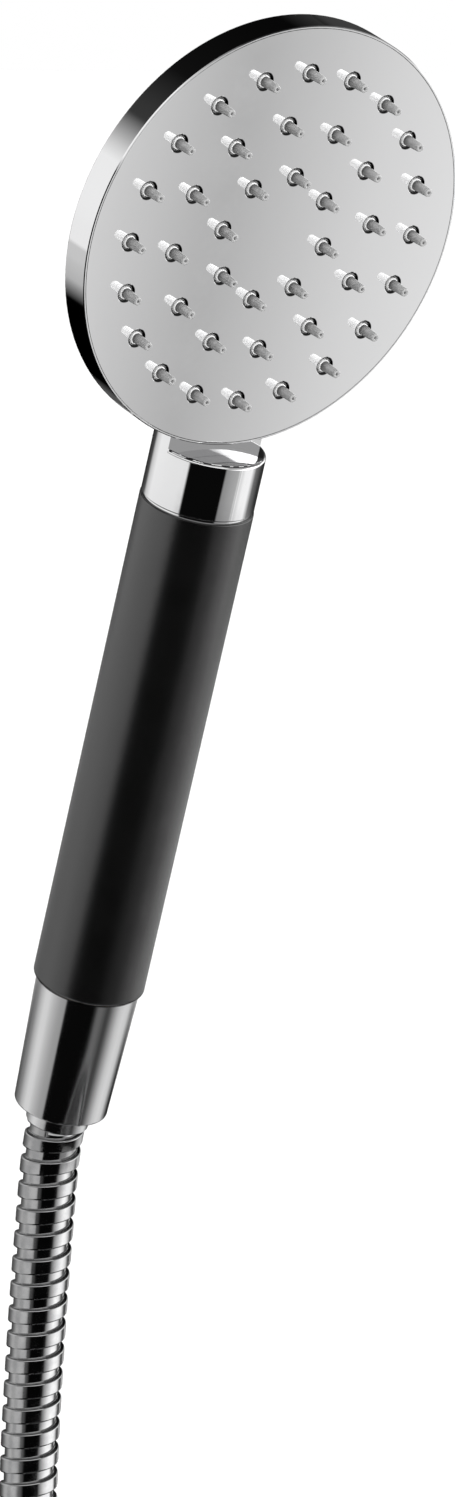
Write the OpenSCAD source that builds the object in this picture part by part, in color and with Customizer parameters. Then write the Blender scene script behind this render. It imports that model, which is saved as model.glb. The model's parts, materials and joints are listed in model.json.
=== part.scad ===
// Handheld shower head with its spiral metal hose.
// The handset hangs in its bracket by the conical nut: the origin is at the middle of that nut,
// +Z is up, +X is to the right of someone facing the spray, and the spray faces -Y.
// Every piece of the handset is drawn upright about the handle's axis, then leaned forward.

/* [Placing] */
// Forward lean of the handle in its bracket, degrees
tilt = 20; // [18:0.5:22]

/* [Spray head] */
// Outside diameter of the round head
head_d = 100; // [98:0.5:102]
// Thickness of the head, back to face
head_t = 7.75; // [7.5:0.05:8.2]
// Height of the head's centre above the middle of the cone nut
head_z = 206.5; // [205:0.5:208]
// Wall of the shell's back
shell_wall = 1.1; // [0.9:0.1:1.2]
// Height of a soft nozzle above the face
nozzle_h = 4.9; // [4:0.1:5.5]
// Radius of a nozzle at its tip
nozzle_tip_r = 0.95; // [0.85:0.05:1.1]
// Radius of the jet hole in each nozzle
jet_r = 0.45; // [0.4:0.05:0.7]

/* [Handle] */
// Radius of the chrome neck
neck_r = 13.1; // [13:0.05:13.2]
// Height of the shelf that the neck is milled down to
shelf_z = 154.3; // [153.5:0.1:155]
// Radius of the soft grip sleeve
grip_r = 13.28; // [13.2:0.02:13.5]
// Lower end of the grip sleeve
grip_z0 = 16.6; // [16.5:0.1:16.8]
// Upper end of the grip sleeve
grip_z1 = 140.1; // [139:0.1:141]

/* [Cone nut and hose] */
// Length of the cone nut
nut_len = 32.8; // [32.6:0.1:33]
// Radius of the cone nut at its top
nut_top_r = 12.3; // [12.2:0.05:12.4]
// Radius of the cone nut at its foot
nut_foot_r = 11.2; // [11:0.05:11.3]
// Radius of the male G1/2 thread
male_r = 10.4775; // [10.45:0.0025:10.48]
// Radius of the nuts' bores, with a running clearance on the thread
nut_bore_r = 10.53; // [10.52:0.01:10.55]
// Radius of the hose
hose_r = 7; // [6.8:0.1:7]

/* [Hidden] */
$fn = 96;
eps = 0.02;

// Layers of the head, measured towards the spray from the handle's axis
face_w = 5.65;
back_w = face_w - head_t;
plate_t = 1.1;
mat_t = 1.2;
spray_t = 1.3;
seal_t = 1;
mat_w = face_w - plate_t - mat_t;
spray_w = mat_w - spray_t;
seal_w = spray_w - seal_t;
floor_w = back_w + shell_wall;
head_r = head_d / 2;
rim_wall = 0.5;
stack_r = head_r - rim_wall - 0.2;
plate_r = head_r - rim_wall - 0.05;
seal_in_r = stack_r - 2.7;
back_edge = 0.4;
rim_edge = 0.2;
ring_radii = [14.7, 26.8, 39];
ring_counts = [8, 12, 20];
ring_starts = [36, 6, 0];
screw_count = 6;
screw_ring_r = 33;
screw_r = 1;
screw_head_r = 1.95;
screw_hole_r = 1.1;
boss_r = 2.6;

// Nozzles, and the countersunk holes of the front plate that they stand in
hole_r = 1.8;
hole_mouth_r = 2.3;
hole_mouth_t = 0.3;
nozzle_base_r = 1.7;
nozzle_foot_r = 1.5;
nozzle_edge = 0.15;
funnel_r = 1.1;
jet_len = 1.6;
port_r = 1.05;

// Neck, spigot and their seals
neck_round = 0.8;
neck_step = 0.35;
spigot_z = 168.5;
spigot_r = 4.95;
spigot_hole_r = 5;
spigot_bore_r = 3.3;
spigot_flange_r = 7.5;
spigot_flange_t = 1.2;
spigot_end_w = -5.6;
spigot_seal_r = 6.6;
spigot_seal_t = 0.7;
slit_y = -1.8;
way_y = 7.6;
way_r = 3.6;
main_bore_r = 6;
main_bore_top = 149;
collar_r = 11.6;
collar_len = 4;
tail_r = 10;
tail_z0 = 116;
ring_r = 9.3;
ring_t = 0.7;
groove_r = 8.55;
groove_len = 2.4;
neck_ring_z = 126;

// Handle core and inlet
core_in_r = 10.05;
core_z0 = 18.7;
inlet_z = 6.5;
inlet_bore_r = 6.5;
pocket_r = 7.55;
pocket_top = 14.5;
regulator_z = 8.7;
regulator_r = 6.2;
regulator_hole_r = 1.1;
regulator_ring_r = 4.3;
screen_z = 7.6;
slot_w = 0.4;
slot_len = 8;
tail_plug_top = 34;
tail_ring_z = 27;

// Hose end in the cone nut
nut_z0 = 16.3 - nut_len;
shoulder_z1 = 1;
shoulder_z0 = -1.5;
shoulder_r = 7.75;
foot_bore_r = 8.6;
flange_r = 9.4;
flange_t = 3.45;
washer_r = 9.2;
washer_t = 1.97;
washer_hole_r = 6;
ferrule_neck_r = 7.45;
ferrule_bore_r = 4;
barb_r = 5.3;
barb_step = 3.6;
barb_count = 4;
barb_depth = 0.7;
ferrule_tail = 19;
ferrule_neck = 3.3;
fit_gap = 0.05;
collar_out_r = 7.5;
collar_in_r = 6.4;
hose_end = 21;
collar_top = 2.3;

// Coil: three layers of turns, one hose diameter apart, in front of and below the handset
layer = 14.2;
level_z = [for (i = [0:2]) -179 - i * layer];
coil_centre = [0, -77];
coil_r = 75;
entry_az = 128.66;
tie_az = [200, 320];

// Wall end: the hose leaves the coil and climbs a little to its fitting
far_pos = [75, -17.1, -203.9];
far_rise = 6;
far_collar_len = 18.7;
far_neck_end = 22;
far_flange_end = 25.45;
far_nut_r = 11.9;
far_nut_z0 = 19.4;
far_nut_z1 = 37;
far_shoulder_z = 21.95;
far_thread_z = 27.8;
far_relief_r = 10.8;
flute_count = 16;
flute_r = 1.2;

// The hose's free stretch, from the collar down to the coil
upper_route = [
    [0, 7.2, -19.7], [0, 8.5, -23.6], [0, 9.5, -27.5], [0, 10.3, -31.4], [0, 11.4, -39],
    [0, 12.6, -48], [0, 13.8, -57], [0, 15, -67], [0, 16.1, -77], [0, 17.1, -87],
    [0, 18, -97], [0, 18.7, -107], [0, 19, -114], [0, 19, -119], [-0.7, 18.4, -129.4],
    [-2.8, 16.7, -139.5], [-6.3, 14, -149], [-11, 10.2, -157.6], [-16.7, 5.6, -165],
    [-23.4, 0.3, -171], [-30.8, -5.7, -175.4], [-38.7, -12, -178.1], [-46.9, -18.5, -179]
];
// The hose's last stretch, from the coil to the wall fitting's collar
tail_route = [
    [75, -77, -207.4], [75, -68, -207.4], [75, -59, -207.4], [75, -50, -207.3],
    [75, -43, -206.7], [75, -36, -205.9], [75, -27, -204.9], [75, -17.1, -203.9]
];

// Leans a piece drawn about the upright handle axis
module lean() {
    rotate([tilt, 0, 0]) children();
}

// Places a piece of the head: X to the right, Y up the handle, Z towards the spray
module on_head() {
    lean() translate([0, 0, head_z]) rotate([90, 0, 0]) children();
}

// Places a piece of the wall end: Z runs along the hose and out of the nut's mouth
module at_far_end() {
    translate(far_pos) rotate([far_rise - 90, 0, 0]) children();
}

// A turned piece from its half outline, as [radius, height] points
module turned(outline) {
    rotate_extrude() polygon(outline);
}

// Plain tube between two heights
module tube(outer, inner, z0, z1) {
    turned([[inner, z0], [outer, z0], [outer, z1], [inner, z1]]);
}

// Points of a rounded corner, from angle a0 to angle a1
function arc(cx, cy, r, a0, a1, steps = 6) =
    [for (i = [0:steps]) let (a = a0 + (a1 - a0) * i / steps) [cx + r * cos(a), cy + r * sin(a)]];

// Puts its children at every nozzle
module at_nozzles() {
    for (ring = [0:len(ring_radii) - 1])
        for (i = [0:ring_counts[ring] - 1])
            rotate([0, 0, ring_starts[ring] + i * 360 / ring_counts[ring]])
                translate([0, ring_radii[ring], 0]) children();
}

// Puts its children at every spray plate screw, midway between the two outer rings
module at_screws() {
    for (i = [0:screw_count - 1])
        rotate([0, 0, (i + 0.5) * 360 / screw_count]) translate([0, screw_ring_r, 0]) children();
}

// Drawn shell: back, rim and the screw bosses inside
module head_shell() {
    color("gainsboro") on_head() difference() {
        union() {
            turned(concat(
                [[0, back_w]],
                arc(head_r - back_edge, back_w + back_edge, back_edge, -90, 0, 3),
                [[head_r, face_w - rim_edge], [head_r - rim_edge, face_w],
                 [head_r - rim_wall, face_w], [head_r - rim_wall, seal_w],
                 [seal_in_r, seal_w], [seal_in_r, floor_w], [0, floor_w]]
            ));
            at_screws() translate([0, 0, floor_w - 0.1]) cylinder(r = boss_r, h = spray_w - floor_w + 0.1);
        }
        at_screws() translate([0, 0, floor_w + 0.2]) cylinder(r = screw_r + eps, h = head_t);
        translate([0, spigot_z - head_z, back_w - 1]) cylinder(r = spigot_hole_r + 0.05, h = shell_wall + 2);
    }
}

// Polished front plate, with a countersunk hole round each nozzle
module face_plate() {
    color("silver") on_head() difference() {
        turned([
            [0, face_w - plate_t], [plate_r, face_w - plate_t],
            [plate_r, face_w - 0.1], [plate_r - 0.1, face_w], [0, face_w]
        ]);
        at_nozzles() {
            translate([0, 0, face_w - plate_t - 1]) cylinder(r = hole_r, h = plate_t + 2);
            translate([0, 0, face_w - hole_mouth_t])
                cylinder(r1 = hole_r, r2 = hole_mouth_r, h = hole_mouth_t);
            translate([0, 0, face_w]) cylinder(r = hole_mouth_r, h = 1);
        }
    }
}

// One nozzle's solid, from inside the mat to its rounded tip
module nozzle_body() {
    tip_w = face_w + nozzle_h;
    turned(concat(
        [[0, mat_w + 0.2], [nozzle_base_r, mat_w + 0.2],
         [nozzle_base_r, face_w - hole_mouth_t], [nozzle_foot_r, face_w]],
        arc(nozzle_tip_r - nozzle_edge, tip_w - nozzle_edge, nozzle_edge, 0, 90, 3),
        [[0, tip_w]]
    ));
}

// One nozzle's water way: a funnel that narrows to the jet
module nozzle_way() {
    tip_w = face_w + nozzle_h;
    turned([
        [0, mat_w - 1], [funnel_r, mat_w - 1], [funnel_r, face_w - 0.5],
        [jet_r, tip_w - jet_len], [jet_r, tip_w + eps], [0, tip_w + eps]
    ]);
}

// One silicone moulding: the mat and all its nozzles
module nozzle_mat() {
    color("lightgrey") on_head() difference() {
        union() {
            translate([0, 0, mat_w]) cylinder(r = stack_r, h = mat_t);
            at_nozzles() nozzle_body();
        }
        at_nozzles() nozzle_way();
    }
}

// Stiff plate behind the mat: a port behind each nozzle, countersinks for the screws
module spray_plate() {
    color("dimgrey") on_head() difference() {
        translate([0, 0, spray_w]) cylinder(r = stack_r, h = spray_t);
        at_nozzles() translate([0, 0, spray_w - 1]) cylinder(r = port_r, h = spray_t + 2, $fn = 24);
        at_screws() {
            translate([0, 0, spray_w - 1]) cylinder(r = screw_hole_r, h = spray_t + 2);
            translate([0, 0, mat_w - 0.95]) cylinder(r1 = screw_hole_r, r2 = screw_head_r + 0.1, h = 0.96);
        }
    }
}

// Flat ring gasket between the shell's step and the spray plate
module chamber_seal() {
    color("black") on_head() tube(stack_r, seal_in_r + 0.1, seal_w, spray_w);
}

// Countersunk screws that hold the spray plate to the shell's bosses
module spray_screws() {
    color("silver") on_head() at_screws() turned([
        [0, floor_w + 0.5], [screw_r, floor_w + 0.5], [screw_r, mat_w - 0.97],
        [screw_head_r, mat_w - 0.05], [0, mat_w - 0.05]
    ]);
}

// Hollow screw through the shell's back into the neck: it holds the head and carries the water
module head_spigot() {
    color("goldenrod") on_head() translate([0, spigot_z - head_z, 0]) difference() {
        turned([
            [0, spigot_end_w], [spigot_r - 0.4, spigot_end_w], [spigot_r, spigot_end_w + 0.4],
            [spigot_r, floor_w], [spigot_flange_r, floor_w],
            [spigot_flange_r, floor_w + spigot_flange_t], [0, floor_w + spigot_flange_t]
        ]);
        translate([0, 0, spigot_end_w - 1]) cylinder(r = spigot_bore_r, h = head_t + 6);
        translate([0, 0, floor_w - 0.8]) cylinder(r = spigot_bore_r + 0.9, h = 3, $fn = 6);
    }
}

// O-ring in the neck's face groove, round the hollow screw
module spigot_seal() {
    color("black") on_head() translate([0, spigot_z - head_z, back_w - spigot_seal_t - eps])
        rotate_extrude() translate([spigot_seal_r, 0]) circle(r = spigot_seal_t, $fn = 32);
}

// The neck's solid: turned lower body, milled tongue behind the head, collar and tail below
module neck_blank() {
    turned(concat(
        [[0, grip_z1], [neck_r - neck_step, grip_z1], [neck_r - neck_step, grip_z1 + 0.5],
         [neck_r, grip_z1 + 0.5 + neck_step]],
        arc(neck_r - neck_round, shelf_z - neck_round, neck_round, 0, 90),
        [[0, shelf_z]]
    ));
    intersection() {
        translate([0, 0, shelf_z - 6]) cylinder(r = neck_r, h = 60);
        union() {
            translate([-20, slit_y, shelf_z - 5]) cube([40, 30, spigot_z - shelf_z + 5]);
            translate([0, 20, spigot_z]) rotate([90, 0, 0]) cylinder(r = neck_r, h = 20 - slit_y);
        }
    }
    translate([0, 0, grip_z1 - collar_len]) cylinder(r = collar_r, h = collar_len + 0.5);
    translate([0, 0, tail_z0]) cylinder(r = tail_r, h = grip_z1 - tail_z0 - 1);
}

// Chrome neck, with the shelf, the seat for the head's edge and the water ways
module neck() {
    color("gainsboro") lean() difference() {
        neck_blank();
        translate([0, -back_w, head_z]) rotate([90, 0, 0]) cylinder(r = head_r + eps, h = 30, $fn = 180);
        translate([0, 0, tail_z0 - 1]) cylinder(r = main_bore_r, h = main_bore_top - tail_z0 + 1);
        translate([0, way_y, main_bore_top - 3]) cylinder(r = way_r, h = spigot_z - main_bore_top + 3);
        translate([0, 10.6, spigot_z]) rotate([90, 0, 0]) cylinder(r = spigot_hole_r, h = 15);
        translate([0, -back_w + 1.45, spigot_z]) rotate([90, 0, 0])
            tube(spigot_seal_r + 0.75, spigot_seal_r - 0.75, 0, 5);
        tube(tail_r + 1, groove_r, neck_ring_z - groove_len / 2, neck_ring_z + groove_len / 2);
    }
}

// O-ring round a tail, at the given height
module tail_ring(z) {
    color("black") lean() translate([0, 0, z])
        rotate_extrude() translate([ring_r, 0]) circle(r = ring_t, $fn = 32);
}

module neck_seal() {
    tail_ring(neck_ring_z);
}

module tail_seal() {
    tail_ring(tail_ring_z);
}

// Water tube and stiff core of the handle
module core_tube() {
    color("goldenrod") lean() tube(collar_r, core_in_r, core_z0, grip_z1 - collar_len);
}

// Soft sleeve, with a rounded edge at both ends
module grip_sleeve() {
    in_r = collar_r + fit_gap;
    foot = 1;
    color([0.08, 0.08, 0.08]) lean() turned(concat(
        [[in_r, grip_z0]],
        arc(grip_r - foot, grip_z0 + foot, foot, -90, 0),
        arc(grip_r - 0.3, grip_z1 - 0.3, 0.3, 0, 90, 3),
        [[in_r, grip_z1]]
    ));
}

// Lower fitting: flange, plug in the core tube and the male thread, with the inlet pocket
module tail_fitting() {
    color("goldenrod") lean() difference() {
        turned([
            [0, inlet_z], [male_r - 0.6, inlet_z], [male_r, inlet_z + 0.6], [male_r, grip_z0],
            [collar_r, grip_z0], [collar_r, core_z0], [tail_r, core_z0],
            [tail_r, tail_plug_top], [0, tail_plug_top]
        ]);
        translate([0, 0, inlet_z - 1]) cylinder(r = pocket_r, h = pocket_top - inlet_z + 1);
        translate([0, 0, inlet_z]) cylinder(r = inlet_bore_r, h = tail_plug_top);
        tube(tail_r + 1, groove_r, tail_ring_z - groove_len / 2, tail_ring_z + groove_len / 2);
    }
}

// Flow limiter: a disc with a ring of small holes round a solid middle
module flow_regulator() {
    color("steelblue") lean() difference() {
        turned([
            [0, regulator_z], [pocket_r - fit_gap, regulator_z], [pocket_r - fit_gap, 12.6],
            [regulator_r, 12.6], [regulator_r, pocket_top - fit_gap], [0, pocket_top - fit_gap]
        ]);
        for (a = [0:45:315]) rotate([0, 0, a]) translate([regulator_ring_r, 0, 0])
            cylinder(r = regulator_hole_r, h = 30, $fn = 24);
    }
}

// Strainer: a thin cup with slots
module filter_screen() {
    color("whitesmoke") lean() difference() {
        turned([
            [0, screen_z], [5.9, screen_z], [6.4, screen_z - 1], [pocket_r - fit_gap, screen_z - 1],
            [pocket_r - fit_gap, screen_z - 0.2], [7, screen_z + 1], [0, screen_z + 1]
        ]);
        for (x = [-4:1:4]) translate([x - slot_w / 2, -slot_len / 2, screen_z - 1])
            cube([slot_w, slot_len, 3]);
    }
}

// Smooth conical hose nut
module cone_nut() {
    top = nut_z0 + nut_len;
    edge = 0.5;
    color("gainsboro") lean() turned(concat(
        [[foot_bore_r, nut_z0]],
        arc(nut_foot_r - edge, nut_z0 + edge, edge, -90, 0),
        [[nut_top_r, top - 0.2], [nut_top_r - 0.2, top], [nut_bore_r, top],
         [nut_bore_r, shoulder_z1], [shoulder_r, shoulder_z1], [shoulder_r, shoulder_z0],
         [foot_bore_r, shoulder_z0]]
    ));
}

// Hose end: flange, neck through the nut, and a barbed tail inside the hose, from z0 upwards
module ferrule(z0) {
    tail_end = z0 - ferrule_tail;
    neck_end = z0 - ferrule_neck;
    barbs = [for (i = [0:barb_count - 1], p = [[barb_r - barb_depth, 0], [barb_r, 2.4], [barb_r, 3]])
        [p[0], tail_end + i * barb_step + p[1]]];
    turned(concat(
        [[ferrule_bore_r, tail_end]],
        barbs,
        [[barb_r - barb_depth, neck_end], [ferrule_neck_r, neck_end], [ferrule_neck_r, z0],
         [flange_r, z0], [flange_r, z0 + flange_t], [ferrule_bore_r, z0 + flange_t]]
    ));
}

module hose_ferrule() {
    color("gainsboro") lean() ferrule(shoulder_z1 + fit_gap);
}

// Flat rubber washer, from z0 upwards
module washer(z0) {
    tube(washer_r, washer_hole_r, z0, z0 + washer_t);
}

module nut_washer() {
    color("black") lean() washer(shoulder_z1 + fit_gap + flange_t);
}

// Crimped sleeve below the cone nut
module hose_collar() {
    color("gainsboro") lean() turned([
        [collar_in_r, -hose_end], [collar_out_r - 0.3, -hose_end],
        [collar_out_r, -hose_end + 0.3], [collar_out_r, -collar_top], [collar_in_r, -collar_top]
    ]);
}

// End of the hose's inner tube, gripped between a barbed tail and its crimped sleeve
module liner_end(z0, z1) {
    tube(collar_in_r - fit_gap, barb_r + fit_gap, z0 + 2 * fit_gap, z1 - 2 * fit_gap);
}

module hose_liner() {
    color("black") lean() liner_end(-hose_end, -collar_top);
}

module far_liner() {
    color("black") at_far_end() liner_end(0, far_collar_len);
}

function unit(v) = v / norm(v);
function heading(route, i) =
    unit(route[min(i + 1, len(route) - 1)] - route[max(i - 1, 0)]);

// Closed tube swept along a route: side_dir is any direction that the route never takes
module swept(route, r, side_dir, end_dirs, sides = 12) {
    count = len(route);
    function dir(i) = i == 0 ? end_dirs[0] : i == count - 1 ? end_dirs[1] : heading(route, i);
    function across(i) = let (d = dir(i)) unit(side_dir - (side_dir * d) * d);
    rings = [for (i = [0:count - 1], k = [0:sides - 1])
        let (u = across(i), v = cross(dir(i), u), a = k * 360 / sides)
        route[i] + r * cos(a) * u + r * sin(a) * v];
    walls = [for (i = [0:count - 2], k = [0:sides - 1]) let (n = (k + 1) % sides)
        [i * sides + k, (i + 1) * sides + k, (i + 1) * sides + n, i * sides + n]];
    first = [for (k = [0:sides - 1]) k];
    last = [for (k = [sides - 1:-1:0]) (count - 1) * sides + k];
    polyhedron(rings, concat(walls, [first, last]));
}

// Free stretch of the hose, from the collar to the coil
module hose() {
    entry_dir = [-sin(entry_az), cos(entry_az), 0];
    color("silver") swept(
        upper_route, hose_r, [cos(entry_az), sin(entry_az), 0],
        [[0, sin(tilt), -cos(tilt)], entry_dir]
    );
}

// Last stretch of the hose, from the coil to the wall fitting
module hose_tail() {
    color("silver") swept(
        tail_route, hose_r, [1, 0, 0], [[0, 1, 0], [0, cos(far_rise), sin(far_rise)]]
    );
}

// The coil's outer shape: a ring as high as its three layers of turns, with cut edges
module hose_coil() {
    cut = 2.2;
    half_w = layer / 2;
    top = level_z[0] + half_w;
    foot = level_z[2] - half_w;
    color("silver") translate([coil_centre[0], coil_centre[1], 0]) turned([
        [coil_r - half_w, foot + cut], [coil_r - half_w + cut, foot],
        [coil_r + half_w - cut, foot], [coil_r + half_w, foot + cut],
        [coil_r + half_w, top - cut], [coil_r + half_w - cut, top],
        [coil_r - half_w + cut, top], [coil_r - half_w, top - cut]
    ]);
}

// Straps round the whole bundle of turns
module hose_ties() {
    gap = 0.3;
    wall = 1;
    width = 9;
    half = layer / 2 + gap;
    top = level_z[0] + half;
    foot = level_z[2] - half;
    color([0.1, 0.1, 0.1])
    for (az = tie_az)
        translate([coil_centre[0], coil_centre[1], 0]) rotate([0, 0, az])
            translate([coil_r, width / 2, 0]) rotate([90, 0, 0]) linear_extrude(width)
                difference() {
                    translate([-half - wall, foot - wall]) square([2 * (half + wall), top - foot + 2 * wall]);
                    translate([-half, foot]) square([2 * half, top - foot]);
                }
}

// Crimped sleeve at the wall end
module far_collar() {
    color("gainsboro") at_far_end() turned([
        [collar_in_r, 0], [collar_out_r - 0.3, 0], [collar_out_r, 0.3],
        [collar_out_r, far_collar_len], [collar_in_r, far_collar_len]
    ]);
}

module far_ferrule() {
    color("gainsboro") at_far_end() ferrule(far_neck_end);
}

// Fluted G1/2 nut that turns freely on the hose's wall end
module wall_nut() {
    edge = 0.6;
    color("gainsboro") at_far_end() difference() {
        turned([
            [shoulder_r, far_nut_z0], [far_nut_r - edge, far_nut_z0],
            [far_nut_r, far_nut_z0 + edge], [far_nut_r, far_nut_z1 - edge],
            [far_nut_r - edge, far_nut_z1], [nut_bore_r, far_nut_z1],
            [nut_bore_r, far_thread_z], [far_relief_r, far_thread_z],
            [far_relief_r, far_shoulder_z], [shoulder_r, far_shoulder_z]
        ]);
        for (i = [0:flute_count - 1])
            rotate([0, 0, i * 360 / flute_count])
                translate([far_nut_r + 0.75, 0, far_nut_z0 + 1.5])
                    cylinder(r = flute_r, h = far_nut_z1 - far_nut_z0 - 4, $fn = 24);
    }
}

module wall_washer() {
    color("black") at_far_end() washer(far_flange_end);
}

head_shell();
face_plate();
nozzle_mat();
spray_plate();
chamber_seal();
spray_screws();
head_spigot();
spigot_seal();
neck();
neck_seal();
core_tube();
grip_sleeve();
tail_fitting();
tail_seal();
flow_regulator();
filter_screen();
cone_nut();
nut_washer();
hose_ferrule();
hose_collar();
hose_liner();
hose();
hose_coil();
hose_ties();
hose_tail();
far_collar();
far_liner();
far_ferrule();
wall_nut();
wall_washer();
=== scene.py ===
# %% [markdown]
# # A handheld shower head and its hose
# The handset hangs in its bracket by the conical nut. Its frame, every fitted part and every joint come
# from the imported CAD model, which is loaded first and never moved. What is made here is what CAD leaves
# plain: the strip-wound hose, the straps round its coil, the soft nozzles, and the finish of every
# surface.

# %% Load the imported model
import json
import math

import bpy
from mathutils import Matrix, Vector
from mathutils.geometry import delaunay_2d_cdt


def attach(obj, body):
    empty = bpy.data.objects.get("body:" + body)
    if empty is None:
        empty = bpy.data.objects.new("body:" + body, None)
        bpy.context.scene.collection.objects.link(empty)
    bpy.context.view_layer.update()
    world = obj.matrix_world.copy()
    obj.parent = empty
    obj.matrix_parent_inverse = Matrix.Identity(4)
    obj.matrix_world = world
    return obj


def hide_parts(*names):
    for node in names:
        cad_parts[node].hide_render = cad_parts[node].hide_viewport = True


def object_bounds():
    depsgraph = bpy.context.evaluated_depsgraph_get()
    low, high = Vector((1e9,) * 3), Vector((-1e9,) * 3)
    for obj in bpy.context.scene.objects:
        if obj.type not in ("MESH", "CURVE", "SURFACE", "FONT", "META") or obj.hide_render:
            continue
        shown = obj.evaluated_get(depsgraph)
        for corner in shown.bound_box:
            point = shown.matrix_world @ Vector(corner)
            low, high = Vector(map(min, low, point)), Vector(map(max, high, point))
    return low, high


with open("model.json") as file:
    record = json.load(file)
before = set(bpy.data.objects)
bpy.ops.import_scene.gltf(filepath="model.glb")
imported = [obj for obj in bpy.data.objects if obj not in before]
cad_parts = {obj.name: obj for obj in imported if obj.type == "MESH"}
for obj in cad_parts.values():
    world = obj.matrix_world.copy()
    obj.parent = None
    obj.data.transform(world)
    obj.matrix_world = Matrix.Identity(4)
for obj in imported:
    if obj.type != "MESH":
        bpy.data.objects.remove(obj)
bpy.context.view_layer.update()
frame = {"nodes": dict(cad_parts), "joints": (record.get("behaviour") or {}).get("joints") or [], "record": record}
record = frame["record"]
MM = 0.001

# %% [markdown]
# ## The axis that everything else is placed by
# The conical nut turns on the handle's own axis, and the record says which way that points, so the axis
# needs no measuring. It points down out of the nut, so the handle goes up against it.

# %% Read the handle's axis
joints = {joint["name"]: joint for joint in frame["joints"]}
handle_up = -Vector(joints["nut_spin"]["axis"]).normalized()
print("handle axis", tuple(round(x, 4) for x in handle_up))

# %% [markdown]
# ## The camera
# A long lens keeps the disc's ellipse true and the handle's sides nearly parallel. The camera is placed
# by an aim point beside the handle, a distance, two angles and a very small roll. It could also be aimed
# at an empty with a track-to constraint, but a few numbers say plainly what the view is.

# %% Place the camera
AIM = Vector((0.0245, -0.0270, 0.0711))
DISTANCE = 1.4
AZIMUTH, ELEVATION, ROLL = (math.radians(a) for a in (-36.62, 7.28, 0.30))
SENSOR = 36
LENS = 144.29

camera_data = bpy.data.cameras.new("camera")
camera_data.sensor_width = SENSOR
camera_data.lens = LENS
camera = bpy.data.objects.new("camera", camera_data)
bpy.context.scene.collection.objects.link(camera)
toward_camera = Vector((
    math.sin(AZIMUTH) * math.cos(ELEVATION), -math.cos(AZIMUTH) * math.cos(ELEVATION), math.sin(ELEVATION)))
facing = (-toward_camera).to_track_quat("-Z", "Y").to_matrix().to_4x4()
stand = Matrix.Translation(AIM + DISTANCE * toward_camera)
camera.matrix_world = stand @ facing @ Matrix.Rotation(ROLL, 4, "Z")
bpy.context.scene.camera = camera
print("camera at", tuple(round(x, 4) for x in camera.matrix_world.translation))

# %% [markdown]
# ## The hose's route
# The hose leaves the collar along the handle, bends slowly until it hangs straight, and then goes down
# into a neat coil of three layers, tied for storage. The hanging stretch and the last stretch to the wall
# fitting are given points, the same as in the CAD source. The coil's turns follow a rule, so a
# loop makes them: each turn stays level for most of its way round and then slopes down into the next
# layer.

# %% Chosen points and the coil's rule, in millimetres
LAYER = 14.2
COIL_CENTRE = (0, -77)
COIL_R = 75
TOP_LEVEL = -179
ENTRY_AZIMUTH = 128.66
LEAVING_AZIMUTH = 1080
DROP_START = 0.7
COIL_STEPS = 130
HANGING = [
    (0, 7.2, -19.7), (0, 8.5, -23.6), (0, 9.5, -27.5), (0, 10.3, -31.4), (0, 11.4, -39), (0, 12.6, -48),
    (0, 13.8, -57), (0, 15, -67), (0, 16.1, -77), (0, 17.1, -87), (0, 18, -97), (0, 18.7, -107),
    (0, 19, -114), (0, 19, -119), (-0.7, 18.4, -129.4), (-2.8, 16.7, -139.5), (-6.3, 14, -149),
    (-11, 10.2, -157.6), (-16.7, 5.6, -165), (-23.4, 0.3, -171), (-30.8, -5.7, -175.4), (-38.7, -12, -178.1)]
LAST_STRETCH = [
    (75, -68, -207.4), (75, -59, -207.4), (75, -50, -207.3), (75, -43, -206.7), (75, -36, -205.9),
    (75, -27, -204.9), (75, -17.1, -203.9)]


def smooth_step(t):
    """0 to 1 with level ends."""
    t = min(max(t, 0.0), 1.0)
    return t * t * (3 - 2 * t)


def coil_point(share):
    """A point on the coil: each turn stays level and then drops a layer in its last part."""
    azimuth = ENTRY_AZIMUTH + share * (LEAVING_AZIMUTH - ENTRY_AZIMUTH)
    turns = (azimuth - ENTRY_AZIMUTH) / 360
    whole = math.floor(turns)
    layers_down = whole + smooth_step((turns - whole - DROP_START) / (1 - DROP_START))
    angle = math.radians(azimuth)
    return (COIL_CENTRE[0] + COIL_R * math.cos(angle), COIL_CENTRE[1] + COIL_R * math.sin(angle),
            TOP_LEVEL - LAYER * layers_down)


coil = [coil_point(i / COIL_STEPS) for i in range(COIL_STEPS + 1)]
knots = [Vector(p) * MM for p in HANGING + coil + LAST_STRETCH]
print("route of", len(knots), "points,", len(coil), "of them in the coil")

# %% [markdown]
# ## One smooth line through the points
# A Catmull-Rom curve goes through every chosen point, so the hose lies where its CAD solids are. It is
# then walked in small equal steps, because the strip's pitch has to stay the same round every bend.

# %% Walk the curve in equal steps
STEP = 0.5 * MM
PARTS_PER_SPAN = 24


def catmull_rom(a, b, c, d, t):
    """The point at t between b and c."""
    square, cube = 2 * a - 5 * b + 4 * c - d, 3 * b - a - 3 * c + d
    return 0.5 * ((2 * b) + (c - a) * t + square * t * t + cube * t ** 3)


def even_walk(points, step):
    """Points at equal steps along the smooth curve through the given ones, and its whole length."""
    ends = [2 * points[0] - points[1], *points, 2 * points[-1] - points[-2]]
    fine = [points[0]]
    for i in range(1, len(ends) - 2):
        for k in range(1, PARTS_PER_SPAN + 1):
            fine.append(catmull_rom(*ends[i - 1:i + 3], k / PARTS_PER_SPAN))
    total = sum((b - a).length for a, b in zip(fine, fine[1:]))
    count = round(total / step)
    walked, due, done = [fine[0]], total / count, 0.0
    for a, b in zip(fine, fine[1:]):
        span = (b - a).length
        while len(walked) < count and done + span >= due * len(walked):
            walked.append(a.lerp(b, (due * len(walked) - done) / span))
        done += span
    return walked + [fine[-1]], total


centreline, hose_length = even_walk(knots, STEP)
print("hose length", round(hose_length, 4), "m in", len(centreline), "steps")

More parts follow.
